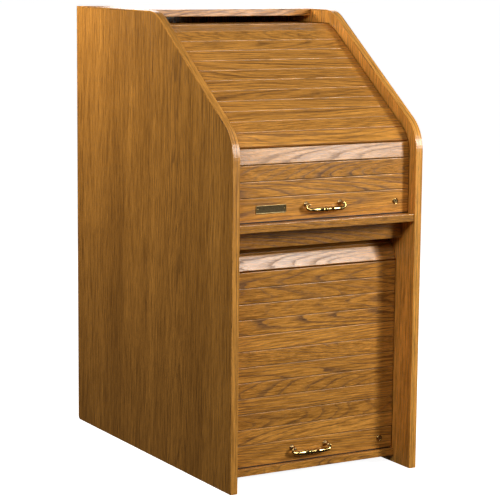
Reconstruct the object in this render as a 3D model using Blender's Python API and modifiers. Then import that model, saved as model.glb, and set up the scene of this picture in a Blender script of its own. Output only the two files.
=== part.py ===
"""Narrow oak roll-top desk: a tall cabinet with one tambour door above its desk shelf and one below.

Metres, +Z up. The origin is the bottom centre of the cabinet, the front faces -Y and +X is the right-hand side.
Profiles in the side view are given as (depth, height): depth is measured from the front edge of the side
panels towards the rear, height from the floor.
"""
import math

import bmesh
import bpy
from mathutils import Matrix, Vector

# ---- driving dimensions ----
WIDTH = 0.540
DEPTH = 0.870
HEIGHT = 1.146
BOARD = 0.019                      # side panel thickness
BEND_HEIGHT = 0.860                # where the front line meets the slope line, before rounding
SLOPE_ANGLE = math.radians(35.3)   # slope of the roll top above horizontal
OUTER_BEND_RADIUS = 0.100
HEEL_RADIUS = 0.010                # rounding of the lower rear corner
GAP = 0.0003                       # clearance between pieces that touch
BAND = 0.003                       # thickness of the oak edge band on the side panels
ARRIS = 0.0012                     # rounding of the oak edges

PANEL_THICKNESS = 0.018            # top and bottom boards
TOP_FRONT = 0.510                  # depth of the top panel's front edge
LIPPING = 0.006
SHELF_TOP = 0.6525
SHELF_THICKNESS = 0.0185
SHELF_FRONT = 0.0035
NOSING = 0.012
VALANCE_FRONT = 0.056
VALANCE_THICKNESS = 0.018
VALANCE_BOTTOM = 0.5865
BOTTOM_SHELF_TOP = 0.036
BOTTOM_SHELF_FRONT = 0.073
REAR_PANEL_THICKNESS = 0.012
REAR_PANEL_INSET = 0.006

# ---- tambour doors ----
SLAT_PITCH = 0.0392
SLAT_GAP = 0.0012
SLAT_THICKNESS = 0.008
SLAT_BACK_CHAMFER = 0.001
SLAT_END_CLEARANCE = 0.0007
RAIL_THICKNESS = 0.014
RAIL_END_CLEARANCE = 0.0015
SEAL_HEIGHT = 0.0024
SEAL_DEPTH = 0.009
SEAL_SETBACK = 0.002
TRACK_CLEARANCE = 0.0015           # each side of the slats
TRACK_ROUT_DEPTH = 0.006

UPPER_FACE_OFFSET = 0.031          # slat faces behind the side panels' edge
UPPER_RUN_HEIGHT = 1.110           # face of the slats that lie under the top panel
UPPER_FRONT_BEND = 0.069
UPPER_TOP_BEND = 0.065
UPPER_REAR_BEND = 0.060
UPPER_TRACK_REAR = 0.822
UPPER_TRACK_END = 0.690
UPPER_RAIL_HEIGHT = 0.0585
UPPER_SLATS = 18
UPPER_TRAVEL_PITCHES = 5

LOWER_FACE = 0.082
LOWER_BEND = 0.067
LOWER_BEND_START = 0.522
LOWER_TRACK_REAR = 0.800
LOWER_RAIL_HEIGHT = 0.055
LOWER_SLATS = 14
LOWER_TRAVEL_PITCHES = 4

# ---- brass fittings ----
POST_SPACING = 0.097
POST_ABOVE_RAIL_MIDDLE = 0.006
POST_REACH = 0.0140                # rail face to the bail's axis
ROSETTE_RADIUS = 0.0075
BALL_RADIUS = 0.0042
PIN_HOLE_RADIUS = 0.0020
PIN_RADIUS = 0.0013
BAIL_OVERHANG = 0.0068             # how far the bail swells past each post
BAIL_DROP = 0.0130
BEAD_LENGTH = 0.015
BEAD_RADIUS = 0.0070
LOCK_X = 0.2115
LOCK_FLANGE_RADIUS = 0.0078
LOCK_BARREL_RADIUS = 0.0065
LOCK_BORE_RADIUS = 0.0052
LOCK_PLUG_RADIUS = 0.0049
LOCK_FLANGE_THICKNESS = 0.0016
CAM_REACH = 0.022
CAM_WIDTH = 0.009
CAM_THICKNESS = 0.002
KEYWAY = (0.0014, 0.0060, 0.0030)
BADGE_X = -0.148
BADGE_SIZE = (0.084, 0.0012, 0.020)
BADGE_PIN_RADIUS = 0.0022

INSIDE = WIDTH / 2 - BOARD
TURN_STEPS = 24
ARC_STEPS = 12

OAK = (0.43, 0.20, 0.06)
OAK_DARK = (0.30, 0.13, 0.035)
OAK_PALE = (0.52, 0.27, 0.10)
BRASS = (0.80, 0.56, 0.20)
BRASS_AGED = (0.36, 0.25, 0.10)
RUBBER = (0.012, 0.012, 0.012)

for old in list(bpy.data.objects):
    bpy.data.objects.remove(old, do_unlink=True)

desk = bpy.data.collections.new("roll_top_desk")
cutters = bpy.data.collections.new("cutters")
bpy.context.scene.collection.children.link(desk)
bpy.context.scene.collection.children.link(cutters)


# ---- side-view paths: straight runs joined by arcs ----
class Path:
    """A chain of straight runs with rounded corners in the side view, read by its length."""

    def __init__(self, corners, radii):
        points = [Vector(corner) for corner in corners]
        self.pieces = []
        start = points[0]
        for before, corner, after, radius in zip(points, points[1:], points[2:], radii):
            into = (corner - before).normalized()
            away = (after - corner).normalized()
            turn = math.atan2(into.x * away.y - into.y * away.x, into.dot(away))
            tangent = radius * math.tan(abs(turn) / 2)
            side = math.copysign(1, turn)
            first = corner - into * tangent
            centre = first + Vector((-into.y, into.x)) * radius * side
            angle = math.atan2(first.y - centre.y, first.x - centre.x)
            self.pieces.append(("run", start, first))
            self.pieces.append(("arc", centre, radius, angle, turn))
            start = corner + away * tangent
        self.pieces.append(("run", start, points[-1]))

    @staticmethod
    def piece_length(piece):
        if piece[0] == "run":
            return (piece[2] - piece[1]).length
        return piece[2] * abs(piece[4])

    def at(self, distance):
        """The point this far along the path."""
        for piece in self.pieces:
            length = self.piece_length(piece)
            if distance <= length or piece is self.pieces[-1]:
                break
            distance -= length
        if piece[0] == "run":
            return piece[1] + (piece[2] - piece[1]) * (distance / length)
        angle = piece[3] + piece[4] * distance / length
        return piece[1] + Vector((math.cos(angle), math.sin(angle))) * piece[2]

    def chord_step(self, distance, chord):
        """How far along the path the far end of a straight chord lies; a negative chord looks back."""
        origin = self.at(distance)
        near, far = distance, distance + 2 * chord
        for _ in range(50):
            middle = (near + far) / 2
            if (self.at(middle) - origin).length < abs(chord):
                near = middle
            else:
                far = middle
        return near

    def outline(self, offset=0.0):
        """Points of the path moved sideways, to the left of its direction, with its arcs in steps."""
        points = []
        for piece in self.pieces:
            if piece[0] == "run":
                along = (piece[2] - piece[1]).normalized()
                shift = Vector((-along.y, along.x)) * offset
                points += [piece[1] + shift, piece[2] + shift]
            else:
                radius = piece[2] - math.copysign(offset, piece[4])
                for step in range(1, ARC_STEPS):
                    angle = piece[3] + piece[4] * step / ARC_STEPS
                    points.append(piece[1] + Vector((math.cos(angle), math.sin(angle))) * radius)
        return points


def band_outline(path, left, right):
    """Closed outline of a strip that follows the path between two sideways offsets."""
    return path.outline(left) + path.outline(right)[::-1]


def side_profile(offset=0.0):
    """The side panel's top and front edge, rear to front, moved inwards by the offset."""
    slope = math.tan(SLOPE_ANGLE)
    slope_base = BEND_HEIGHT - offset / math.cos(SLOPE_ANGLE)
    top = HEIGHT - offset
    corners = [
        (DEPTH, top),
        ((top - slope_base) / slope, top),
        (offset, slope_base + slope * offset),
        (offset, 0),
    ]
    radius = OUTER_BEND_RADIUS - offset
    return Path(corners, [radius, radius])


# ---- solids ----
def finish(obj, colour, roughness, metallic=0.0):
    """Give a part its own material and put it in the desk's collection."""
    material = bpy.data.materials.new(obj.name)
    material.use_nodes = True
    shader = material.node_tree.nodes["Principled BSDF"]
    shader.inputs["Base Color"].default_value = (*colour, 1.0)
    shader.inputs["Roughness"].default_value = roughness
    shader.inputs["Metallic"].default_value = metallic
    obj.data.materials.clear()
    obj.data.materials.append(material)
    move_to(obj, desk)
    return obj


def move_to(obj, collection):
    for other in list(obj.users_collection):
        other.objects.unlink(obj)
    collection.objects.link(obj)


def flat_mesh(name, outline, thickness):
    """A closed mesh of a side-view outline, centred on X = 0, with depth on Y and height on Z."""
    curve = bpy.data.curves.new(name, "CURVE")
    curve.dimensions = "2D"
    curve.fill_mode = "BOTH"
    curve.extrude = thickness / 2
    spline = curve.splines.new("POLY")
    spline.points.add(len(outline) - 1)
    for point, place in zip(spline.points, outline):
        point.co = (place[0], place[1], 0, 1)
    spline.use_cyclic_u = True
    mesh = mesh_from_curve(name, curve)
    mesh.transform(Matrix(((0, 0, 1, 0), (1, 0, 0, 0), (0, 1, 0, 0), (0, 0, 0, 1))))
    return mesh


def mesh_from_curve(name, curve):
    holder = bpy.data.objects.new(name + "_curve", curve)
    bpy.context.scene.collection.objects.link(holder)
    evaluated = holder.evaluated_get(bpy.context.evaluated_depsgraph_get())
    mesh = bpy.data.meshes.new_from_object(evaluated)
    bpy.data.objects.remove(holder)
    bm = bmesh.new()
    bm.from_mesh(mesh)
    bmesh.ops.remove_doubles(bm, verts=bm.verts, dist=0.000001)
    bmesh.ops.recalc_face_normals(bm, faces=bm.faces)
    bm.to_mesh(mesh)
    bm.free()
    mesh.name = name
    return mesh


def place(depth, height, x=0.0):
    return Vector((x, depth - DEPTH / 2, height))


def box(name, x, depth, height, arris=0.0):
    """A box between two X values, two depths and two heights, with rounded arrises if asked."""
    bpy.ops.mesh.primitive_cube_add(size=1)
    obj = bpy.context.object
    obj.name = name
    obj.data.name = name
    obj.data.transform(Matrix.Diagonal((x[1] - x[0], depth[1] - depth[0], height[1] - height[0], 1)))
    obj.location = place(sum(depth) / 2, sum(height) / 2, sum(x) / 2)
    if arris:
        bevel = obj.modifiers.new("arrises", "BEVEL")
        bevel.width = arris
        bevel.segments = 3
    return obj


def turned(name, profile, location, steps=TURN_STEPS):
    """A turned solid whose axis points out of the front. The profile is (radius, height above the base)."""
    mesh = bpy.data.meshes.new(name)
    count = len(profile)
    closed = profile[0][0] > 0
    edges = [(i, (i + 1) % count) for i in range(count if closed else count - 1)]
    mesh.from_pydata([(radius, 0, height) for radius, height in profile], edges, [])
    obj = bpy.data.objects.new(name, mesh)
    desk.objects.link(obj)
    screw = obj.modifiers.new("turn", "SCREW")
    screw.axis = "Z"
    screw.steps = steps
    screw.render_steps = steps
    screw.use_merge_vertices = True
    screw.merge_threshold = 0.00001
    obj.rotation_euler = (math.radians(90), 0, 0)
    obj.location = location
    return obj


def combine(obj, other, operation, solver="EXACT"):
    """Cut or join another solid, which becomes a hidden guide."""
    move_to(other, cutters)
    other.hide_render = True
    other.display_type = "WIRE"
    boolean = obj.modifiers.new(operation.lower(), "BOOLEAN")
    boolean.operation = operation
    boolean.solver = solver
    boolean.object = other


def cylinder(name, radius, length, location, axis, vertices=TURN_STEPS):
    bpy.ops.mesh.primitive_cylinder_add(radius=radius, depth=length, vertices=vertices)
    obj = bpy.context.object
    obj.name = name
    obj.rotation_euler = (0, math.radians(90), 0) if axis == "X" else (math.radians(90), 0, 0)
    obj.location = location
    return obj


# ---- the tambours' geometry ----
def upper_track():
    """Back face of the upper slats: up the front, along the slope, under the top, down behind."""
    slope = math.tan(SLOPE_ANGLE)
    depth = UPPER_FACE_OFFSET + SLAT_THICKNESS
    slope_base = BEND_HEIGHT - depth / math.cos(SLOPE_ANGLE)
    run = UPPER_RUN_HEIGHT - SLAT_THICKNESS
    corners = [
        (depth, SHELF_TOP),
        (depth, slope_base + slope * depth),
        ((run - slope_base) / slope, run),
        (UPPER_TRACK_REAR, run),
        (UPPER_TRACK_REAR, UPPER_TRACK_END),
    ]
    radii = [radius - SLAT_THICKNESS for radius in (UPPER_FRONT_BEND, UPPER_TOP_BEND, UPPER_REAR_BEND)]
    return Path(corners, radii)


def lower_track():
    """Back face of the lower slats: up the front, then back under the desk shelf."""
    depth = LOWER_FACE + SLAT_THICKNESS
    radius = LOWER_BEND - SLAT_THICKNESS
    run = LOWER_BEND_START + radius
    return Path([(depth, BOTTOM_SHELF_TOP), (depth, run), (LOWER_TRACK_REAR, run)], [radius])


def tambour_places(track, rail_bottom, rail_height, slats, travel):
    """Lower and upper back edges of the rail and each slat, first closed and then after the travel."""
    pivots = [rail_bottom + rail_height - track.at(0).y]
    for _ in range(slats + travel):
        pivots.append(track.chord_step(pivots[-1], SLAT_PITCH))

    def edges(index):
        if index >= 0:
            return track.at(pivots[index]), track.at(pivots[index + 1])
        top = pivots[index + 1]
        return track.at(track.chord_step(top, -rail_height)), track.at(top)

    closed = [edges(-1)] + [edges(i) for i in range(slats)]
    rail_open = track.at(track.chord_step(pivots[travel], -rail_height)), track.at(pivots[travel])
    opened = [rail_open] + [edges(i + travel) for i in range(slats)]
    return closed, opened


def turning_centre(closed, opened):
    """The centre about which a piece turns from its closed to its open place, or None if it only slides."""
    before = closed[1] - closed[0]
    after = opened[1] - opened[0]
    turn = math.atan2(before.x * after.y - before.y * after.x, before.dot(after))
    if abs(turn) < 0.00001:
        return None
    shift = opened[0] - closed[0]
    middle = (opened[0] + closed[0]) / 2
    return middle + Vector((-shift.y, shift.x)) / (2 * math.tan(turn / 2))


def lean(edges):
    """Rotation about X that stands a vertical piece along the line between its two back edges."""
    along = edges[1] - edges[0]
    return -math.atan2(along.x, along.y)


def stand_on_axis(obj, edges, centre):
    """Place a tambour piece by its lower back edge, under an empty on its turning centre if it has one."""
    where = place(edges[0].x, edges[0].y)
    obj.rotation_euler = (lean(edges), 0, 0)
    if centre is None:
        obj.location = where
        return
    axis = bpy.data.objects.new(obj.name + "_axis", None)
    axis.location = place(centre.x, centre.y)
    axis.empty_display_size = 0.02
    desk.objects.link(axis)
    obj.parent = axis
    obj.location = where - axis.location


def rounded_section(thickness, height, back_chamfer):
    """Cross-section of a slat: (0, 0) is its lower back edge and its face is towards smaller depth."""
    outline = [(0, back_chamfer), (0, height - back_chamfer), (-back_chamfer, height)]
    for corner, first in (((ARRIS - thickness, height - ARRIS), 90), ((ARRIS - thickness, ARRIS), 180)):
        for step in range(4):
            angle = math.radians(first + 30 * step)
            outline.append((corner[0] + ARRIS * math.cos(angle), corner[1] + ARRIS * math.sin(angle)))
    outline.append((-back_chamfer, 0))
    return outline


# ---- the case ----
def edge_band(name, x):
    """Oak band over the top, slope and front of a side panel, with its outer arrises rounded."""
    outer = side_profile().outline()
    mesh = flat_mesh(name, outer + side_profile(BAND).outline()[::-1], BOARD)
    on_edge = {(round(p.x, 5), round(p.y, 5)) for p in outer}
    weights = mesh.attributes.new("bevel_weight_edge", "FLOAT", "EDGE")
    for edge in mesh.edges:
        first, second = (mesh.vertices[i].co for i in edge.vertices)
        outside = all((round(v.y, 5), round(v.z, 5)) in on_edge for v in (first, second))
        neighbours = abs(first.x - second.x) < 0.000001
        ends = (first - second).length > DEPTH * 0.9
        weights.data[edge.index].value = 1.0 if outside and neighbours and not ends else 0.0
    obj = bpy.data.objects.new(name, mesh)
    bevel = obj.modifiers.new("arrises", "BEVEL")
    bevel.limit_method = "WEIGHT"
    bevel.width = ARRIS
    bevel.segments = 3
    obj.location = place(0, 0, x)
    return finish(obj, OAK, 0.35)


def side_panel(name, side):
    """Oak ply side with the two tambour tracks routed into its inner face."""
    outline = side_profile(BAND + GAP).outline()
    for step in range(ARC_STEPS // 2 + 1):
        angle = math.radians(-90 + 90 * step / (ARC_STEPS // 2))
        centre = Vector((DEPTH - HEEL_RADIUS, HEEL_RADIUS))
        outline.append(centre + Vector((math.cos(angle), math.sin(angle))) * HEEL_RADIUS)
    obj = bpy.data.objects.new(name, flat_mesh(name, outline, BOARD))
    obj.location = place(0, 0, side * (WIDTH - BOARD) / 2)
    for track, label in ((upper_track(), "upper"), (lower_track(), "lower")):
        strip = band_outline(track, SLAT_THICKNESS + TRACK_CLEARANCE, -TRACK_CLEARANCE)
        rout = bpy.data.objects.new(f"{name}_{label}_track", flat_mesh(name, strip, 2 * TRACK_ROUT_DEPTH))
        rout.location = place(0, 0, side * INSIDE)
        cutters.objects.link(rout)
        combine(obj, rout, "DIFFERENCE", "MANIFOLD")
    return finish(obj, OAK, 0.4)


def build_case():
    for side, label in ((-1, "left"), (1, "right")):
        side_panel(f"{label}_side_panel", side)
        edge_band(f"{label}_edge_band", side * (WIDTH - BOARD) / 2)
    clear = INSIDE - GAP
    span = (-clear, clear)
    rear = DEPTH - REAR_PANEL_INSET - REAR_PANEL_THICKNESS
    top_under = HEIGHT - PANEL_THICKNESS
    shelf_under = SHELF_TOP - SHELF_THICKNESS
    bottom_under = BOTTOM_SHELF_TOP - PANEL_THICKNESS
    parts = (
        ("top_panel_lipping", (TOP_FRONT, TOP_FRONT + LIPPING), (top_under, HEIGHT), OAK_PALE),
        ("top_panel", (TOP_FRONT + LIPPING + GAP, DEPTH), (top_under, HEIGHT), OAK),
        ("desk_shelf_nosing", (SHELF_FRONT, SHELF_FRONT + NOSING), (shelf_under, SHELF_TOP), OAK_PALE),
        ("desk_shelf", (SHELF_FRONT + NOSING + GAP, rear - GAP), (shelf_under, SHELF_TOP), OAK),
        ("valance_rail", (VALANCE_FRONT, VALANCE_FRONT + VALANCE_THICKNESS),
         (VALANCE_BOTTOM, shelf_under - GAP), OAK),
        ("bottom_shelf_lipping", (BOTTOM_SHELF_FRONT, BOTTOM_SHELF_FRONT + LIPPING),
         (bottom_under, BOTTOM_SHELF_TOP), OAK_PALE),
        ("bottom_shelf", (BOTTOM_SHELF_FRONT + LIPPING + GAP, rear - GAP),
         (bottom_under, BOTTOM_SHELF_TOP), OAK),
        ("rear_panel", (rear, rear + REAR_PANEL_THICKNESS), (bottom_under, top_under - GAP), OAK_DARK),
    )
    for name, depth, height, colour in parts:
        finish(box(name, span, depth, height, 0.0008), colour, 0.38)


# ---- the doors ----
def tambour(label, track, rail_bottom, rail_height, slats, travel):
    """One door: its slats and lock rail. Returns the rail and its turning centre."""
    closed, opened = tambour_places(track, rail_bottom, rail_height, slats, travel)
    section = rounded_section(SLAT_THICKNESS, SLAT_PITCH - SLAT_GAP, SLAT_BACK_CHAMFER)
    slat_mesh = flat_mesh(f"{label}_slat", section, 2 * (INSIDE - SLAT_END_CLEARANCE))
    slat_mesh.transform(Matrix.Translation((0, 0, SLAT_GAP / 2)))
    for number in range(1, slats + 1):
        name = f"{label}_slat_{number:02d}"
        obj = bpy.data.objects.new(name, slat_mesh.copy())
        stand_on_axis(obj, closed[number], turning_centre(closed[number], opened[number]))
        finish(obj, OAK, 0.33)
    rail_section = rounded_section(RAIL_THICKNESS, rail_height - SLAT_GAP / 2, SLAT_BACK_CHAMFER)
    rail_mesh = flat_mesh(f"{label}_lock_rail", rail_section, 2 * (INSIDE - RAIL_END_CLEARANCE))
    rail_mesh.transform(Matrix.Translation((0, RAIL_THICKNESS - SLAT_THICKNESS, 0)))
    rail = bpy.data.objects.new(f"{label}_lock_rail", rail_mesh)
    stand_on_axis(rail, closed[0], turning_centre(closed[0], opened[0]))
    return finish(rail, OAK, 0.33)


def bail_mesh(name):
    """Swan-neck bar in its own frame: its axis is X, it hangs down from its two pins and swells between them."""
    half = POST_SPACING / 2
    swell = half + BAIL_OVERHANG
    side = [
        (half - 0.0005, 0.0, 1.0),
        (half + 0.0052, 0.0, 1.0),
        (swell, -0.0036, 1.7),
        (swell - 0.0014, -0.0088, 2.5),
        (half - 0.0035, -0.0122, 3.7),
        (half - 0.0140, -0.0128, 4.4),
        (half * 0.45, -BAIL_DROP, 4.7),
    ]
    points = [(-x, z, swelling) for x, z, swelling in side]
    points += [(0.0, -BAIL_DROP, 4.7)] + side[::-1]
    curve = bpy.data.curves.new(name, "CURVE")
    curve.dimensions = "3D"
    curve.bevel_depth = PIN_RADIUS
    curve.bevel_resolution = 2
    curve.use_fill_caps = True
    curve.resolution_u = 4
    spline = curve.splines.new("BEZIER")
    spline.bezier_points.add(len(points) - 1)
    for point, (x, z, swelling) in zip(spline.bezier_points, points):
        point.co = (x, 0, z)
        point.radius = swelling
        point.handle_left_type = "AUTO"
        point.handle_right_type = "AUTO"
    return mesh_from_curve(name, curve)


def bead(name):
    """Oval bead at the middle of the bail."""
    bpy.ops.mesh.primitive_uv_sphere_add(segments=16, ring_count=10, radius=1)
    obj = bpy.context.object
    obj.name = name
    obj.data.transform(Matrix.Diagonal((BEAD_LENGTH / 2, BEAD_RADIUS, BEAD_RADIUS, 1)))
    return obj


def pull(label, face_depth, middle):
    """Two turned posts on the rail's face and the bail that hangs from them."""
    base = face_depth - GAP
    height = middle + POST_ABOVE_RAIL_MIDDLE
    neck = BALL_RADIUS * 0.55
    profile = [(0, POST_REACH + BALL_RADIUS)]
    for step in range(1, 7):
        angle = math.radians(90 - 24 * step)
        profile.append((BALL_RADIUS * math.cos(angle), POST_REACH + BALL_RADIUS * math.sin(angle)))
    profile += [
        (neck, POST_REACH - BALL_RADIUS - 0.0005),
        (neck, 0.0034),
        (ROSETTE_RADIUS * 0.62, 0.0026),
        (ROSETTE_RADIUS * 0.80, 0.0016),
        (ROSETTE_RADIUS, 0.0010),
        (ROSETTE_RADIUS, 0.0),
        (0, 0.0),
    ]
    axis = place(base - POST_REACH, height)
    for side, hand in ((-1, "left"), (1, "right")):
        x = side * POST_SPACING / 2
        post = turned(f"{label}_handle_post_{hand}", profile, place(base, height, x))
        hole = cylinder(f"{post.name}_pin_hole", PIN_HOLE_RADIUS, 0.02, axis + Vector((x, 0, 0)), "X", 16)
        combine(post, hole, "DIFFERENCE")
        finish(post, BRASS, 0.2, 1.0)
    bail = bpy.data.objects.new(f"{label}_handle_bail", bail_mesh(f"{label}_handle_bail"))
    bail.location = axis
    middle_bead = bead(f"{label}_bead")
    middle_bead.location = axis - Vector((0, 0, BAIL_DROP))
    combine(bail, middle_bead, "UNION")
    finish(bail, BRASS, 0.2, 1.0)


def cam_lock(label, rail, face_depth, middle):
    """Cam lock through the rail: a flanged shell, and the plug that turns the cam behind the rail."""
    base = place(face_depth, middle, LOCK_X)
    back = -RAIL_THICKNESS - GAP
    front = LOCK_FLANGE_THICKNESS + GAP
    hole = cylinder(f"{label}_lock_hole", LOCK_BARREL_RADIUS + GAP, 0.05, base, "Y")
    if rail.parent:
        hole.parent = rail.parent
        hole.location = base - rail.parent.location
    combine(rail, hole, "DIFFERENCE")
    shell_profile = [
        (LOCK_BORE_RADIUS, front),
        (LOCK_FLANGE_RADIUS - 0.0008, front),
        (LOCK_FLANGE_RADIUS, front - 0.0008),
        (LOCK_FLANGE_RADIUS, GAP),
        (LOCK_BARREL_RADIUS, GAP),
        (LOCK_BARREL_RADIUS, back),
        (LOCK_BORE_RADIUS, back),
    ]
    finish(turned(f"{label}_lock_shell", shell_profile, base), BRASS, 0.25, 1.0)
    plug_back = back - CAM_THICKNESS - GAP
    plug_profile = [
        (0, front - 0.0003),
        (LOCK_PLUG_RADIUS - 0.0004, front - 0.0003),
        (LOCK_PLUG_RADIUS, front - 0.0007),
        (LOCK_PLUG_RADIUS, plug_back),
        (0, plug_back),
    ]
    plug = turned(f"{label}_lock_plug", plug_profile, base)
    half_keyway = KEYWAY[0] / 2
    slot_depth = (face_depth - front - 0.001, face_depth - front + KEYWAY[2])
    slot_height = (middle - KEYWAY[1] / 2, middle + KEYWAY[1] / 2)
    slot = box(f"{label}_keyway", (LOCK_X - half_keyway, LOCK_X + half_keyway), slot_depth, slot_height)
    combine(plug, slot, "DIFFERENCE")
    cam_depth = (face_depth - plug_back - CAM_THICKNESS, face_depth - plug_back + 0.0002)
    cam_height = (middle - CAM_WIDTH / 2, middle + CAM_WIDTH / 2)
    cam = box(f"{label}_cam", (LOCK_X - CAM_REACH, LOCK_X + CAM_WIDTH * 0.6), cam_depth, cam_height)
    combine(plug, cam, "UNION")
    finish(plug, BRASS, 0.25, 1.0)


def seal(label, face_depth, rail_bottom):
    depth = (face_depth + SEAL_SETBACK, face_depth + SEAL_SETBACK + SEAL_DEPTH)
    height = (rail_bottom - GAP - SEAL_HEIGHT, rail_bottom - GAP)
    reach = INSIDE - 2 * RAIL_END_CLEARANCE
    finish(box(f"{label}_rubber_seal", (-reach, reach), depth, height, 0.0005), RUBBER, 0.6)


def badge(face_depth, middle):
    """Plain brass plate with a pin at each end."""
    length, thickness, height = BADGE_SIZE
    x = (BADGE_X - length / 2, BADGE_X + length / 2)
    depth = (face_depth - GAP - thickness, face_depth - GAP)
    plate = box("brass_badge_plate", x, depth, (middle - height / 2, middle + height / 2))
    for end in (-1, 1):
        centre = place(depth[0], middle, BADGE_X + end * (length / 2 - 2 * BADGE_PIN_RADIUS))
        combine(plate, cylinder(f"badge_pin_{end}", BADGE_PIN_RADIUS, thickness, centre, "Y", 16), "UNION")
    finish(plate, BRASS_AGED, 0.35, 1.0)


def build_door(label, track, face_depth, floor_height, rail_height, slats, travel):
    rail_bottom = floor_height + SEAL_HEIGHT + 2 * GAP
    middle = rail_bottom + rail_height / 2
    rail = tambour(label, track, rail_bottom, rail_height, slats, travel)
    seal(label, face_depth, rail_bottom)
    pull(label, face_depth, middle)
    cam_lock(label, rail, face_depth, middle)
    return middle


build_case()
upper_middle = build_door(
    "upper", upper_track(), UPPER_FACE_OFFSET, SHELF_TOP,
    UPPER_RAIL_HEIGHT, UPPER_SLATS, UPPER_TRAVEL_PITCHES)
badge(UPPER_FACE_OFFSET, upper_middle)
build_door(
    "lower", lower_track(), LOWER_FACE, BOTTOM_SHELF_TOP,
    LOWER_RAIL_HEIGHT, LOWER_SLATS, LOWER_TRAVEL_PITCHES)
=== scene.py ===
"""Looks of the narrow oak roll-top desk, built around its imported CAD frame.

Metres, in the frame's own axes: the front faces -Y, +X is the right-hand side and the floor is at z = 0.
"""
import math
import random

import bmesh
import bpy
from mathutils import Matrix, Vector


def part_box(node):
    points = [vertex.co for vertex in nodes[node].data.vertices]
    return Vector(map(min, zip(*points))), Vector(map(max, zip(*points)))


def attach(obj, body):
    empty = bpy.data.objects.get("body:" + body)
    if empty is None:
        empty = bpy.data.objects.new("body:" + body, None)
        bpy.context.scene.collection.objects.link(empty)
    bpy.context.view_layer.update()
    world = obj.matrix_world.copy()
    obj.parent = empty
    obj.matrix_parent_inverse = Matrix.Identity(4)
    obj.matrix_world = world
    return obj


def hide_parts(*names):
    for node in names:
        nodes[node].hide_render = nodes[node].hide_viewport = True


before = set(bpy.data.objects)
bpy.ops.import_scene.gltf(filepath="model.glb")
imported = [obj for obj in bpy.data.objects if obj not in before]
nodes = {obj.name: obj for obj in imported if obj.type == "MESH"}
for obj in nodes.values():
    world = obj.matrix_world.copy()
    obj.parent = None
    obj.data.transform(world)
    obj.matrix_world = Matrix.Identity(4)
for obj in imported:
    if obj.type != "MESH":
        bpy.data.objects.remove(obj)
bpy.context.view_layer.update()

# ---- camera ----
CAMERA_PLACE = (-2.4527, -4.3086, 1.2880)
CAMERA_YAW = math.radians(29.932)
CAMERA_PITCH = math.radians(8.813)
CAMERA_ROLL = math.radians(0.5424)
CAMERA_LENS = 137.25
CAMERA_CLIP = 200.0

# ---- oak: linear colours of the stained wood ----
OAK_LIGHT = (0.670, 0.292, 0.050)
OAK_DARK = (0.185, 0.070, 0.008)
OAK_PORE = (0.085, 0.031, 0.004)
# The pale arris colour below is partly wear and partly a painted highlight along the slats' edges.
OAK_WORN_AND_HIGHLIGHT = (0.800, 0.450, 0.140)
LACQUER_ROUGHNESS = 0.21
LACQUER_IOR = 1.54

# ---- oak: growth rings, in metres ----
RING_SPACING = 0.0052
PANEL_RING_SPACING = 0.0048
BAND_RING_SPACING = 0.0040
REAR_RING_SPACING = 0.0070
HEART_DEPTH = (0.022, 0.075)
HEART_OFFSET = 0.045

# ---- oak: each feature's noise scale along the grain and across it, in cycles a metre ----
DRIFT_SCALE = (2.4, 14.0)
RIPPLE_SCALE = (16.0, 90.0)
FADE_SCALE = (3.0, 22.0)
PATCH_SCALE = (0.9, 11.0)
FIBRE_SCALE = (5.5, 300.0)
STRAND_SCALE = (7.0, 270.0)
FINE_SCALE = (26.0, 800.0)
PORE_SCALE = (60.0, 1300.0)

# ---- oak: brightness from each feature, as gain and base ----
FIBRE_TONE = (1.50, 0.28)
STRAND_TONE = (-0.42, 1.10)
FINE_TONE = (1.50, 0.25)
CHANNEL_POWERS = (0.92, 1.0, 1.15)

# ---- oak: roughness that each feature adds, depth of the relief, and how far a seed moves the noise ----
PORE_ROUGHNESS = 0.20
FIGURE_ROUGHNESS = 0.30
WEAR_AND_HIGHLIGHT_ROUGHNESS = 0.35
GRAIN_RELIEF = 0.00020
SEED_STEP = (3.17, 1.91, 2.43)

# ---- brass pull and lock ----
BALL_RADIUS = 0.0042
BALL_STEPS = 18
BALL_STEPS_TO_NECK = 14
PIN_RADIUS = 0.0013
POST_SPACING = 0.097
BAIL_DROP = 0.0130
BAIL_SWELL = 0.0068
ARM_RADIUS = 0.0066
BEAD_LENGTH = 0.015
BEAD_RADIUS = 0.0075
BEAD_STEPS = 8
LINE_STEPS = 7
LOCK_BORE = 0.0052
LOCK_BARREL = 0.0065
LOCK_FLANGE = 0.0016
TURN_STEPS = 48

# ---- badge ----
BADGE_CORNER = 0.0022
BADGE_PIN_INSET = 0.0044
BADGE_PIN_STEPS = 24

# ---- studio ----
FLOOR_HALF = 90.0
FLOOR_GLOW = 0.95
WORLD_STRENGTH = 0.12
WORLD_LEVELS = ((0.0, 0.16), (0.46, 0.20), (0.56, 0.46), (1.0, 0.62))
FRONT_TARGET = (0.0, -0.38, 0.68)
SOFTBOX_DISTANCE = 3.6
WARM_WHITE = (1.0, 0.96, 0.90)
LAMP_AMBER = (1.0, 0.93, 0.84)


# ---- node helpers ----
def set_stops(ramp, stops):
    """Stops are (position, grey level) on a colour ramp."""
    elements = ramp.color_ramp.elements
    while len(elements) < len(stops):
        elements.new(0.5)
    for element, (position, level) in zip(elements, stops):
        element.position = position
        element.color = (level, level, level, 1)


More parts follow.
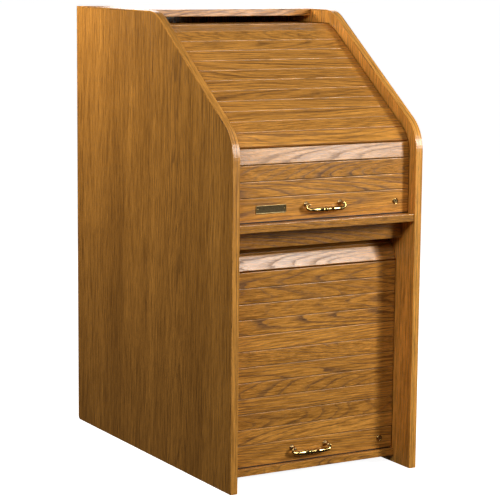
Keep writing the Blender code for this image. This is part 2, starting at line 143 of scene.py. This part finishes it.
class Shader:
    """A material's node tree with short calls for the nodes that the finishes share."""

    def __init__(self, name):
        self.material = bpy.data.materials.new(name)
        self.material.use_nodes = True
        self.tree = self.material.node_tree
        self.surface = self.tree.nodes["Principled BSDF"]
        self.coords = self.tree.nodes.new("ShaderNodeTexCoord").outputs["Object"]

    def plug(self, socket, value):
        if isinstance(value, bpy.types.NodeSocket):
            self.tree.links.new(value, socket)
        else:
            socket.default_value = value

    def math(self, operation, a, b=0.0, c=0.0, clamp=False):
        node = self.tree.nodes.new("ShaderNodeMath")
        node.operation = operation
        node.use_clamp = clamp
        for socket, value in zip(node.inputs, (a, b, c)):
            self.plug(socket, value)
        return node.outputs[0]

    def times(self, a, b, clamp=False):
        return self.math("MULTIPLY", a, b, clamp=clamp)

    def line(self, value, gain, base):
        """value * gain + base, where each may be a number or a socket."""
        return self.math("MULTIPLY_ADD", value, gain, base)

    def vector(self, operation, a, b=(0, 0, 0), scale=1.0):
        node = self.tree.nodes.new("ShaderNodeVectorMath")
        node.operation = operation
        self.plug(node.inputs[0], a)
        if operation == "SCALE":
            node.inputs[3].default_value = scale
        elif operation != "LENGTH":
            self.plug(node.inputs[1], b)
        return node.outputs[1 if operation in ("LENGTH", "DOT_PRODUCT") else 0]

    def mapped(self, location, rotation):
        """Object coordinates measured from location, along axes turned by rotation."""
        node = self.tree.nodes.new("ShaderNodeMapping")
        node.vector_type = "TEXTURE"
        self.plug(node.inputs["Vector"], self.coords)
        node.inputs["Location"].default_value = location
        node.inputs["Rotation"].default_value = rotation
        return node.outputs[0]

    def noise(self, vector, detail=3.0, roughness=0.5, scale=1.0, colour=False):
        node = self.tree.nodes.new("ShaderNodeTexNoise")
        self.plug(node.inputs["Vector"], vector)
        node.inputs["Scale"].default_value = scale
        node.inputs["Detail"].default_value = detail
        node.inputs["Roughness"].default_value = roughness
        return node.outputs["Color" if colour else "Fac"]

    def ramp(self, value, *stops):
        node = self.tree.nodes.new("ShaderNodeValToRGB")
        self.plug(node.inputs[0], value)
        set_stops(node, stops)
        return node.outputs["Color"]

    def mix(self, amount, a, b, blend="MIX"):
        node = self.tree.nodes.new("ShaderNodeMix")
        node.data_type = "RGBA"
        node.blend_type = blend
        self.plug(node.inputs["Factor"], amount)
        colour_inputs = [socket for socket in node.inputs if socket.type == "RGBA"]
        for socket, value in zip(colour_inputs, (a, b)):
            self.plug(socket, (*value, 1) if isinstance(value, tuple) else value)
        return [socket for socket in node.outputs if socket.type == "RGBA"][0]

    def bump(self, height, strength, distance):
        node = self.tree.nodes.new("ShaderNodeBump")
        node.inputs["Strength"].default_value = strength
        node.inputs["Distance"].default_value = distance
        self.plug(node.inputs["Height"], height)
        self.tree.links.new(node.outputs[0], self.surface.inputs["Normal"])

    def paint(self, colour, roughness):
        self.plug(self.surface.inputs["Base Color"], colour)
        self.plug(self.surface.inputs["Roughness"], roughness)


class Grain:
    """Coordinates that follow one board's grain; along is 1 on each axis that the grain runs along.

    heart is a point on the tree's axis and tilt its small turns. The seed moves every noise elsewhere.
    """

    def __init__(self, shader, along, heart, tilt, seed):
        self.shader = shader
        self.along = along
        self.across = tuple(1 - a for a in along)
        self.place = shader.mapped(heart, tilt)
        self.shift = tuple(seed * step for step in SEED_STEP)

    def stretched(self, scale):
        run, width = scale
        scales = tuple(run if a else width for a in self.along)
        moved = self.shader.vector("MULTIPLY", self.place, scales)
        return self.shader.vector("ADD", moved, self.shift)

    def noise(self, scale, detail, roughness):
        return self.shader.noise(self.stretched(scale), detail, roughness)

    def wander(self, scale, detail, roughness):
        """A vector noise centred on zero."""
        coloured = self.shader.noise(self.stretched(scale), detail, roughness, colour=True)
        return self.shader.vector("SUBTRACT", coloured, (0.5, 0.5, 0.5))

    def rings(self, wobble, spacing):
        """Growth rings: 1 at the dark start of a year and 0 in its pale late part."""
        shader = self.shader
        drift = self.wander(DRIFT_SCALE, 2.0, 0.5)
        ripple = self.wander(RIPPLE_SCALE, 3.0, 0.6)
        bent = shader.vector("ADD", self.place, shader.vector("SCALE", drift, scale=4.0 * wobble))
        bent = shader.vector("ADD", bent, shader.vector("SCALE", ripple, scale=0.5 * wobble))
        radius = shader.vector("LENGTH", shader.vector("MULTIPLY", bent, self.across))
        age = shader.math("DIVIDE", radius, spacing)
        uneven = shader.noise(shader.times(age, 0.37), 1.0)
        age = shader.line(uneven, 2.2, age)
        return shader.ramp(
            shader.math("FRACT", age),
            (0.0, 0.25), (0.06, 1.0), (0.16, 0.80), (0.30, 0.28), (0.62, 0.0), (1.0, 0.18),
        )


def worn_and_highlit_arris(shader, edge, patch):
    """How far a slat's arrises are painted paler, partly as wear and partly as a painted highlight: 0 over
    its face, rising at its two long arrises.
    """
    centre, direction, half = edge
    offset = shader.vector("DOT_PRODUCT", shader.vector("SUBTRACT", shader.coords, centre), direction)
    reach = shader.math("DIVIDE", shader.math("ABSOLUTE", offset), half)
    wear_and_highlight = shader.ramp(reach, (0.925, 0.0), (0.965, 0.30))
    return shader.times(wear_and_highlight, shader.line(patch, 0.8, 0.45), clamp=True)


def oak(
    name, along, heart, tilt, seed, tone, wobble, spacing=RING_SPACING, figure=1.0, streaks=0.22, edge=None,
):
    """Stained plain-sawn oak under satin lacquer.

    along, heart, tilt and seed are the Grain's. tone scales the brightness, wobble sets how far the rings
    wander, figure how strong they are, and streaks how much a board's light and dark areas differ.
    edge is (centre, direction, half width) of a slat, whose arrises are painted paler, partly as wear and
    partly as a painted highlight.
    """
    shader = Shader(name)
    grain = Grain(shader, along, heart, tilt, seed)
    ring = grain.rings(wobble, spacing)
    fine = grain.noise(FINE_SCALE, 3.0, 0.70)
    fibre = grain.noise(FIBRE_SCALE, 3.0, 0.70)
    patch = grain.noise(PATCH_SCALE, 3.0, 0.6)
    strands = shader.ramp(grain.noise(STRAND_SCALE, 2.0, 0.6), (0.50, 0.0), (0.62, 1.0))
    broken = shader.ramp(fine, (0.32, 0.45), (0.58, 1.0))
    fade = shader.ramp(grain.noise(FADE_SCALE, 2.0, 0.5), (0.30, 0.30), (0.62, 1.0))
    figured = shader.times(ring, shader.times(fade, broken))
    figured = shader.times(figured, figure, clamp=True)
    dashes = shader.ramp(grain.noise(PORE_SCALE, 2.0, 0.6), (0.52, 0.0), (0.62, 1.0))
    pores = shader.times(dashes, shader.line(figured, 0.75, 0.25))

    colour = shader.mix(figured, OAK_LIGHT, OAK_DARK)
    colour = shader.mix(shader.times(pores, 0.90), colour, OAK_PORE)
    value = shader.line(fibre, *FIBRE_TONE)
    value = shader.times(value, shader.line(strands, *STRAND_TONE))
    value = shader.times(value, shader.line(fine, *FINE_TONE))
    value = shader.times(value, shader.line(patch, 2 * streaks * tone, (1 - streaks) * tone))
    shade = shader.tree.nodes.new("ShaderNodeCombineColor")
    for socket, power in zip(shade.inputs, CHANNEL_POWERS):
        shader.plug(socket, shader.math("POWER", value, power))
    colour = shader.mix(1.0, colour, shade.outputs[0], "MULTIPLY")

    rough = shader.line(pores, PORE_ROUGHNESS, LACQUER_ROUGHNESS)
    rough = shader.line(figured, FIGURE_ROUGHNESS, rough)
    if edge:
        wear_and_highlight = worn_and_highlit_arris(shader, edge, patch)
        # Arrises painted paler: partly wear, partly a painted highlight where the slat edges catch the
        # light.
        colour = shader.mix(wear_and_highlight, colour, OAK_WORN_AND_HIGHLIGHT)
        rough = shader.line(wear_and_highlight, WEAR_AND_HIGHLIGHT_ROUGHNESS, rough)
    shader.paint(colour, rough)
    shader.surface.inputs["IOR"].default_value = LACQUER_IOR
    height = shader.line(pores, -0.8, shader.times(fine, 0.30))
    shader.bump(shader.line(figured, -0.3, height), 0.20, GRAIN_RELIEF)
    return shader.material


def brass(name, colour, roughness, grime=0.0):
    """Lacquered brass with soft polishing marks and clouds of tarnish, which grime makes stronger."""
    shader = Shader(name)
    cloud = shader.noise(shader.coords, 4.0, 0.6, 260.0)
    marks = shader.noise(shader.vector("MULTIPLY", shader.coords, (300.0, 2600.0, 2600.0)), 3.0, 0.6)
    darker = tuple(c * 0.35 for c in colour)
    tarnish = shader.ramp(cloud, (0.40, 0.0), (0.75, 1.0))
    base = shader.mix(shader.times(tarnish, 0.25 + grime), colour, darker)
    rough = shader.line(cloud, 0.12, roughness - 0.05)
    shader.paint(base, shader.line(marks, 0.08, rough))
    shader.surface.inputs["Metallic"].default_value = 1.0
    shader.bump(shader.line(marks, 0.3, cloud), 0.04 + grime, 0.00010)
    return shader.material


def rubber(name):
    """Black rubber with a fine matt grain."""
    shader = Shader(name)
    grain = shader.noise(shader.coords, 3.0, 0.6, 900.0)
    base = shader.mix(grain, (0.008, 0.009, 0.012), (0.030, 0.032, 0.038))
    shader.paint(base, shader.line(grain, 0.2, 0.45))
    shader.bump(grain, 0.3, 0.0002)
    return shader.material


def dress(name, material):
    slots = nodes[name].data.materials
    slots.clear()
    slots.append(material)


# ---- oak and rubber on the CAD's own nodes ----
GRAIN_X = (1, 0, 0)
GRAIN_Z = (0, 0, 1)
GRAIN_YZ = (0, 1, 1)
BOARDS = (
    "desk_shelf", "desk_shelf_nosing", "valance_rail", "bottom_shelf", "bottom_shelf_lipping", "top_panel",
    "top_panel_lipping",
)
# The nosing and valance are painted darker: partly their own browner oak, partly painted shade for the
# shadow under the nosing and the recess below it.
DARK_AND_SHADED_BOARDS = ("desk_shelf_nosing", "valance_rail")
BOARD_TONE = 0.90
DARK_AND_SHADED_TONE = 0.82
REAR_TONE = 0.85
# Painted light: the two sides are lit and shaded copies of one oak, the right painted far brighter than the
# left to stand in for bounce light the lamps don't give its inner face.
PANEL_TONES_WITH_PAINTED_LIGHT = {"left": 0.88, "right": 1.38}
BAND_TONES_WITH_PAINTED_LIGHT = {"left": 1.12, "right": 1.46}


def middle(name):
    low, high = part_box(name)
    return (low + high) / 2


def face_normal(name):
    """Normal of the largest face, which is the show face or the one parallel to it."""
    mesh = nodes[name].data
    return max(mesh.polygons, key=lambda face: face.area).normal.copy()


def board_across(name, seed, tone, wear_and_highlight=False):
    """Oak for a board whose grain runs along X, with the tree's heart off its largest face."""
    draw = random.Random(seed)
    normal = face_normal(name)
    side = normal.cross(Vector((1, 0, 0))).normalized()
    centre = middle(name)
    heart = centre + normal * draw.uniform(*HEART_DEPTH) + side * draw.uniform(-HEART_OFFSET, HEART_OFFSET)
    nod = math.radians(draw.uniform(-2.5, 2.5))
    turn = math.radians(draw.choice((-1, 1)) * draw.uniform(1.5, 6.0))
    heart.x = draw.uniform(-0.2, 0.2)
    shade = tone * draw.uniform(0.86, 1.12)
    edge = None
    if wear_and_highlight:
        reach = [abs((vertex.co - centre).dot(side)) for vertex in nodes[name].data.vertices]
        edge = (centre, side, max(reach))
    wobble = draw.uniform(0.003, 0.008)
    figure = draw.uniform(0.80, 1.20)
    material = oak(
        f"oak_{name}", GRAIN_X, heart, (0.0, nod, turn), seed, shade, wobble,
        figure=figure, edge=edge,
    )
    dress(name, material)


def dress_side(side, hand, seed):
    """A side panel with upright grain, and its edge band, whose grain follows the edge; side is -1 or 1.
    Their tones carry painted light: the right side is painted far brighter than the left.
    """
    panel = oak(
        f"oak_{hand}_side_panel", GRAIN_Z, (side * 0.36, -0.05 + 0.1 * side, 0.0), (0.02, 0.03 * side, 0.0),
        seed, PANEL_TONES_WITH_PAINTED_LIGHT[hand], 0.009,
        spacing=PANEL_RING_SPACING, figure=0.75, streaks=0.50,
    )
    dress(f"{hand}_side_panel", panel)
    band = oak(
        f"oak_{hand}_edge_band", GRAIN_YZ, (side * 0.29, 0.0, 0.0), (0.0, 0.0, 0.0),
        seed + 1, BAND_TONES_WITH_PAINTED_LIGHT[hand], 0.002,
        spacing=BAND_RING_SPACING,
    )
    dress(f"{hand}_edge_band", band)


seed = 0
for name in sorted(nodes):
    if "_slat_" in name or name.endswith("lock_rail"):
        seed += 1
        board_across(name, seed, 1.0, wear_and_highlight=True)
for name in BOARDS:
    seed += 1
    # The nosing and valance get the darker tone, partly painted shade.
    board_across(name, seed, DARK_AND_SHADED_TONE if name in DARK_AND_SHADED_BOARDS else BOARD_TONE)
dress_side(-1, "left", seed + 1)
dress_side(1, "right", seed + 3)
rear = oak(
    "oak_rear_panel", GRAIN_Z, (0.05, 0.55, 0.0), (0.03, 0.02, 0.0), seed + 5, REAR_TONE, 0.010,
    spacing=REAR_RING_SPACING,
)
dress("rear_panel", rear)
for label in ("upper", "lower"):
    dress(f"{label}_rubber_seal", rubber(f"rubber_{label}_rubber_seal"))


# ---- brass fittings, most of them finer pieces in place of the CAD's plain ones ----
BRASS = brass("polished_brass", (0.68, 0.46, 0.16), 0.10)
BRASS_POST = brass("post_brass", (0.56, 0.36, 0.15), 0.26, 0.1)
BRASS_LOCK = brass("lock_brass", (0.42, 0.29, 0.12), 0.30, 0.2)
BRASS_AGED = brass("aged_brass", (0.50, 0.37, 0.16), 0.34, 0.35)
BRASS_FIELD = brass("aged_brass_field", (0.13, 0.095, 0.045), 0.42, 0.45)


def add_piece(name, mesh, material, body, slot, *replaced):
    piece = bpy.data.objects.new(name, mesh)
    bpy.context.scene.collection.objects.link(piece)
    for face in mesh.polygons:
        face.use_smooth = True
    mesh.materials.append(material)
    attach(piece, body)
    if replaced:
        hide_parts(*replaced)


def bridge(grid, rings):
    """Faces between each ring of vertices and the next; a ring of one vertex is a turned piece's tip."""
    for first, second in zip(rings, rings[1:]):
        steps = max(len(first), len(second))
        for step in range(steps):
            after = (step + 1) % steps
            corners = [
                first[step % len(first)],
                first[after % len(first)],
                second[after % len(second)],
                second[step % len(second)],
            ]
            grid.faces.new(list(dict.fromkeys(corners)))


def finished(grid, name):
    """The grid as a mesh with its faces pointing out; the grid is freed."""
    bmesh.ops.recalc_face_normals(grid, faces=grid.faces)
    mesh = bpy.data.meshes.new(name)
    grid.to_mesh(mesh)
    grid.free()
    return mesh


def lathe(name, profile, place, steps=TURN_STEPS):
    """Surface turned about the -Y axis through place; profile is (radius, distance towards the front)."""
    grid = bmesh.new()
    rings = []
    for radius, reach in profile:
        ring = []
        for step in range(steps if radius else 1):
            turn = math.tau * step / steps
            ring.append(grid.verts.new((
                place[0] + radius * math.cos(turn),
                place[1] - reach,
                place[2] + radius * math.sin(turn),
            )))
        rings.append(ring)
    bridge(grid, rings)
    return finished(grid, name)


def catmull_rom(p, q, r, s, t):
    """One coordinate at t, from 0 at q to 1 at r; p comes before them and s after."""
    linear = (r - p) * t
    square = (2 * p - 5 * q + 4 * r - s) * t * t
    cube = (3 * q - p - 3 * r + s) * t ** 3
    return 0.5 * (2 * q + linear + square + cube)


def smooth_line(points, steps):
    """Catmull-Rom line through points of any number of coordinates, as a list of tuples."""
    padded = [points[0], *points, points[-1]]
    line = []
    for a, b, c, d in zip(padded, padded[1:], padded[2:], padded[3:]):
        for step in range(steps):
            line.append(tuple(catmull_rom(*four, step / steps) for four in zip(a, b, c, d)))
    return [*line, points[-1]]


def swept_bar(name, stations, place, sides=20):
    """Round bar in the plane y = place.y; each station is (x, z, radius) from place."""
    grid = bmesh.new()
    rings = []
    for index, (x, z, radius) in enumerate(stations):
        before = stations[max(index - 1, 0)]
        after = stations[min(index + 1, len(stations) - 1)]
        run = Vector((after[0] - before[0], 0, after[1] - before[1])).normalized()
        out = Vector((-run.z, 0, run.x))
        ring = []
        for step in range(sides):
            turn = math.tau * step / sides
            offset = out * math.cos(turn) * radius + Vector((0, math.sin(turn) * radius, 0))
            ring.append(grid.verts.new(place + Vector((x, 0, z)) + offset))
        rings.append(ring)
    bridge(grid, rings)
    grid.faces.new(rings[0])
    grid.faces.new(rings[-1])
    return finished(grid, name)


def bail_stations():
    """The bail's (x, z, radius) from pin to pin: swan necks, swelling arms, and a bead between collars."""
    half = POST_SPACING / 2
    swell = half + BAIL_SWELL
    neck = [
        (half - 0.0005, 0.0, PIN_RADIUS),
        (half + 0.0052, 0.0, PIN_RADIUS),
        (swell, -0.0036, PIN_RADIUS * 1.9),
        (swell - 0.0014, -0.0088, PIN_RADIUS * 2.8),
        (half - 0.0035, -0.0122, PIN_RADIUS * 4.0),
        (half - 0.0140, -0.0128, PIN_RADIUS * 4.8),
        (half * 0.45, -BAIL_DROP, ARM_RADIUS),
    ]
    collar = BEAD_LENGTH / 2
    collar_radius = BEAD_RADIUS * 0.97
    waist_radius = BEAD_RADIUS * 0.70
    bead = [
        (collar + 0.0042, -BAIL_DROP, ARM_RADIUS),
        (collar + 0.0036, -BAIL_DROP, collar_radius),
        (collar + 0.0022, -BAIL_DROP, collar_radius),
        (collar + 0.0016, -BAIL_DROP, waist_radius),
        (collar, -BAIL_DROP, waist_radius),
    ]
    for step in range(1, BEAD_STEPS + 1):
        along = math.cos(math.pi / 2 * step / BEAD_STEPS)
        radius = BEAD_RADIUS * math.sqrt(1 - along * along)
        bead.append((collar * along, -BAIL_DROP, max(waist_radius, radius)))
    right = smooth_line(neck, LINE_STEPS) + bead
    left = [(-x, z, radius) for x, z, radius in right[:-1]]
    return left + right[::-1]


def ball_profile(reach):
    """The post's ball from its front down to its neck, centred at reach from the door."""
    profile = []
    for step in range(BALL_STEPS_TO_NECK + 1):
        turn = math.pi * step / BALL_STEPS
        profile.append((BALL_RADIUS * math.sin(turn), reach + BALL_RADIUS * math.cos(turn)))
    return profile


def build_pull(label):
    """Two turned posts with rosettes at their feet, and the bail that swings between them."""
    low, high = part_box(f"{label}_handle_post_left")
    axis_y = low.y + BALL_RADIUS
    axis_z = (low.z + high.z) / 2
    reach = high.y - axis_y
    neck = reach - BALL_RADIUS
    stem = [
        (0.0025, neck - 0.0001),
        (0.0030, neck - 0.0006),
        (0.0023, neck - 0.0012),
        (0.0022, 0.0052),
        (0.0027, 0.0042),
        (0.0040, 0.0036),
        (0.0052, 0.0032),
        (0.0054, 0.0024),
        (0.0062, 0.0021),
        (0.0068, 0.0014),
        (0.0074, 0.0010),
        (0.0075, 0.0003),
        (0.0073, 0.0),
        (0, 0.0),
    ]
    for hand in ("left", "right"):
        node = f"{label}_handle_post_{hand}"
        name = f"{label}_pull_post_{hand}"
        mesh = lathe(name, ball_profile(reach) + stem, (middle(node).x, high.y, axis_z))
        add_piece(name, mesh, BRASS_POST, f"{label}_door_rail", "brass", node)
    name = f"{label}_bail_pull"
    mesh = swept_bar(name, bail_stations(), Vector((0, axis_y, axis_z)))
    add_piece(name, mesh, BRASS, f"{label}_bail", "brass", f"{label}_handle_bail")


def rounded_rectangle(length, height, radius, steps=6):
    """Corner points (x, z) of a rectangle about the origin, with steps to each quarter turn."""
    corners = []
    for quarter, (sx, sz) in enumerate(((1, 1), (-1, 1), (-1, -1), (1, -1))):
        for step in range(steps + 1):
            turn = math.pi / 2 * (quarter + step / steps)
            corners.append((
                sx * (length / 2 - radius) + radius * math.cos(turn),
                sz * (height / 2 - radius) + radius * math.sin(turn),
            ))
    return corners


def build_badge():
    """Cast plate with a raised border round a stippled field, held by two domed pins."""
    low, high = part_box("brass_badge_plate")
    centre = (low + high) / 2
    length = high.x - low.x
    height = high.z - low.z
    thickness = high.y - low.y
    border = (
        (0.0, 0.0),
        (0.0, thickness * 0.75),
        (0.0004, thickness),
        (0.0013, thickness),
        (0.0018, thickness * 0.45),
        (0.0028, thickness * 0.42),
    )
    grid = bmesh.new()
    rings = []
    for inset, rise in border:
        outline = rounded_rectangle(length - 2 * inset, height - 2 * inset, BADGE_CORNER)
        rings.append([grid.verts.new((centre.x + x, high.y - rise, centre.z + z)) for x, z in outline])
    bridge(grid, rings)
    grid.faces.new(rings[0])
    grid.faces.new(rings[-1])
    mesh = finished(grid, "badge_plate")
    add_piece("badge_plate", mesh, BRASS_AGED, "upper_door_rail", "badge", "brass_badge_plate")
    mesh.materials.append(BRASS_FIELD)
    field_inset = border[-2][0]
    for face in mesh.polygons:
        offset = face.center - centre
        inside = abs(offset.x) < length / 2 - field_inset and abs(offset.z) < height / 2 - field_inset
        if inside and offset.y < 0.2 * thickness:
            face.material_index = 1
    dome = [
        (0, thickness),
        (0.0010, thickness * 0.92),
        (0.0017, thickness * 0.75),
        (0.0019, thickness * 0.4),
        (0, thickness * 0.35),
    ]
    for end, hand in ((-1, "left"), (1, "right")):
        name = f"badge_pin_{hand}"
        place = (centre.x + end * (length / 2 - BADGE_PIN_INSET), high.y, centre.z)
        add_piece(name, lathe(name, dome, place, BADGE_PIN_STEPS), BRASS, "upper_door_rail", "badge")


def build_lock(label):
    """Rolled flange round the lock's plug, and the barrel that carries it through the rail."""
    node = f"{label}_lock_shell"
    low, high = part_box(node)
    centre = (low + high) / 2
    radius = (high.x - low.x) / 2
    depth = high.y - low.y
    profile = [
        (LOCK_BORE, 0.0),
        (LOCK_BORE, depth - 0.0006),
        (LOCK_BORE + 0.0004, depth - 0.0001),
        (LOCK_BORE + 0.0009, depth),
        (radius * 0.78, depth - 0.0002),
        (radius * 0.84, depth - 0.0005),
        (radius * 0.88, depth - 0.0002),
        (radius * 0.93, depth - 0.0001),
        (radius * 0.985, depth - 0.0004),
        (radius, depth - LOCK_FLANGE * 0.6),
        (radius * 0.99, depth - LOCK_FLANGE),
        (LOCK_BARREL, depth - LOCK_FLANGE),
        (LOCK_BARREL, 0.0),
        (LOCK_BORE, 0.0),
    ]
    mesh = lathe(f"{label}_lock_flange", profile, (centre.x, high.y, centre.z))
    add_piece(f"{label}_lock_flange", mesh, BRASS, f"{label}_door_rail", "brass", node)


for label in ("upper", "lower"):
    dress(f"{label}_lock_plug", BRASS_LOCK)
    build_pull(label)
    build_lock(label)
build_badge()


# ---- stage, light and camera ----
def area_light(name, place, target, size, power, colour=(1, 1, 1)):
    light = bpy.data.lights.new(name, "AREA")
    light.shape = "RECTANGLE"
    light.size, light.size_y = size
    light.energy = power
    light.color = colour
    lamp = bpy.data.objects.new(name, light)
    lamp.location = place
    lamp.rotation_euler = (Vector(target) - Vector(place)).to_track_quat("-Z", "Y").to_euler()
    bpy.context.scene.collection.objects.link(lamp)


def build_floor():
    """White floor that glows to the camera and throws no light back on the desk."""
    mesh = bpy.data.meshes.new("studio_floor")
    corners = [(x * FLOOR_HALF, y * FLOOR_HALF, 0) for x, y in ((-1, -1), (1, -1), (1, 1), (-1, 1))]
    mesh.from_pydata(corners, [], [(0, 1, 2, 3)])
    floor = bpy.data.objects.new("studio_floor", mesh)
    bpy.context.scene.collection.objects.link(floor)
    shader = Shader("studio_floor")
    speck = shader.noise(shader.coords, 2.0, 0.5, 40.0)
    shader.paint(shader.mix(speck, (0.86, 0.86, 0.86), (0.88, 0.88, 0.88)), 0.9)
    shader.surface.inputs["Emission Color"].default_value = (1, 1, 1, 1)
    shader.surface.inputs["Emission Strength"].default_value = FLOOR_GLOW
    mesh.materials.append(shader.material)
    floor.visible_diffuse = False
    floor.visible_glossy = False


def build_world():
    """Faint grey surroundings, darker below the horizon."""
    world = bpy.data.worlds.new("studio")
    bpy.context.scene.world = world
    world.use_nodes = True
    tree = world.node_tree
    coords = tree.nodes.new("ShaderNodeTexCoord")
    split = tree.nodes.new("ShaderNodeSeparateXYZ")
    ramp = tree.nodes.new("ShaderNodeValToRGB")
    shift = tree.nodes.new("ShaderNodeMath")
    shift.operation = "MULTIPLY_ADD"
    shift.inputs[1].default_value = 0.5
    shift.inputs[2].default_value = 0.5
    tree.links.new(coords.outputs["Generated"], split.inputs[0])
    tree.links.new(split.outputs["Z"], shift.inputs[0])
    tree.links.new(shift.outputs[0], ramp.inputs[0])
    set_stops(ramp, WORLD_LEVELS)
    background = tree.nodes["Background"]
    tree.links.new(ramp.outputs[0], background.inputs["Color"])
    background.inputs["Strength"].default_value = WORLD_STRENGTH


def from_front(azimuth, elevation):
    """A softbox's place: azimuth from the front towards the right and elevation above level, in degrees."""
    turn = math.radians(azimuth)
    lift = math.radians(elevation)
    away = Vector((math.sin(turn) * math.cos(lift), -math.cos(turn) * math.cos(lift), math.sin(lift)))
    return Vector(FRONT_TARGET) + SOFTBOX_DISTANCE * away


build_floor()
build_world()
area_light("key_softbox", from_front(36, 19), FRONT_TARGET, (0.40, 0.40), 30.0, WARM_WHITE)
area_light("strip_softbox", from_front(33, 19), FRONT_TARGET, (0.72, 1.85), 58.0)
area_light("left_softbox", (-0.78, 0.82, 1.60), (-0.27, 0.45, 1.05), (0.4, 0.4), 14.0, LAMP_AMBER)
area_light("left_fill", (-2.0, -1.9, 2.1), (0, -0.2, 0.6), (0.9, 0.9), 26.0)
area_light("top_softbox", (0.3, -1.2, 3.0), (0, -0.1, 0.9), (1.2, 1.2), 6.5)
area_light("rear_fill", (1.6, 2.6, 1.9), (0, 0.3, 0.7), (1.4, 1.4), 18.0)

forward = Vector((
    math.sin(CAMERA_YAW) * math.cos(CAMERA_PITCH),
    math.cos(CAMERA_YAW) * math.cos(CAMERA_PITCH),
    -math.sin(CAMERA_PITCH),
))
level = Vector((math.cos(CAMERA_YAW), -math.sin(CAMERA_YAW), 0))
upright = level.cross(forward)
right = level * math.cos(CAMERA_ROLL) + upright * math.sin(CAMERA_ROLL)
up = upright * math.cos(CAMERA_ROLL) - level * math.sin(CAMERA_ROLL)
camera_data = bpy.data.cameras.new("camera")
camera_data.lens = CAMERA_LENS
camera_data.clip_end = CAMERA_CLIP
camera = bpy.data.objects.new("camera", camera_data)
rotation = Matrix((right, up, -forward)).transposed().to_4x4()
camera.matrix_world = Matrix.Translation(CAMERA_PLACE) @ rotation
bpy.context.scene.collection.objects.link(camera)
bpy.context.scene.camera = camera
bpy.context.scene.view_settings.view_transform = "Standard"
